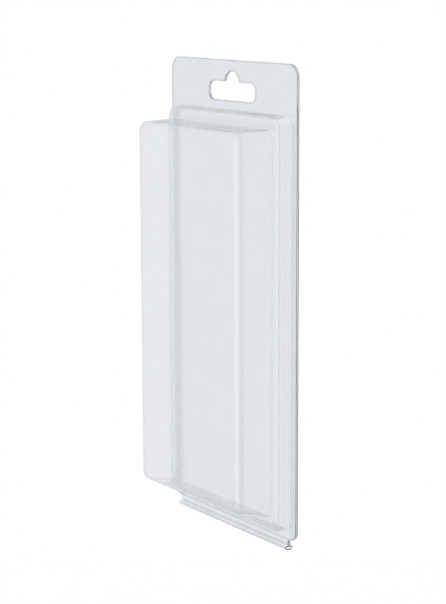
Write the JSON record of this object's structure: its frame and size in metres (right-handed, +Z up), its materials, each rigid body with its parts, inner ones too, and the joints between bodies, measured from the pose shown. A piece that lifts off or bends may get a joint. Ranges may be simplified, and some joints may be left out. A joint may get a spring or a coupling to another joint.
{
  "type": "plastic clamshell pack",
  "caption": "Clear folded plastic clamshell pack: a stepped, drafted blister in front, a nesting back half, a hang slot in its top tab and a hinge along its foot.",
  "frame": {"origin": "where a peg bears in the hang slot: the top of the slot's bump, midway between the two flanges", "axes": "+Z up towards the top edge of the hang tab, -Y out of the blister's front face, +X to the pack's own right as seen from the front"},
  "size_m": [0.0864, 0.0244, 0.1893],
  "materials": {
    "clear_plastic": "clear glossy formed sheet"
  },
  "bodies": {
    "back_half": {"back_shell": "clear_plastic"},
    "hinge_strip": {"hinge_bead": "clear_plastic"},
    "front_half": {"front_shell": "clear_plastic"}
  },
  "joints": [
    {"name": "back_crease", "type": "hinge", "parent": "back_half", "child": "hinge_strip", "pos_m": [0, 0.00175, -0.18385], "axis": [1, 0, 0], "range_deg": [0, 90]},
    {"name": "front_crease", "type": "hinge", "parent": "hinge_strip", "child": "front_half", "pos_m": [0, -0.00175, -0.18385], "axis": [1, 0, 0], "range_deg": [0, 90]}
  ],
  "couplings": [
    {"joint": "back_crease", "follows": "front_crease", "ratio": 1}
  ]
}
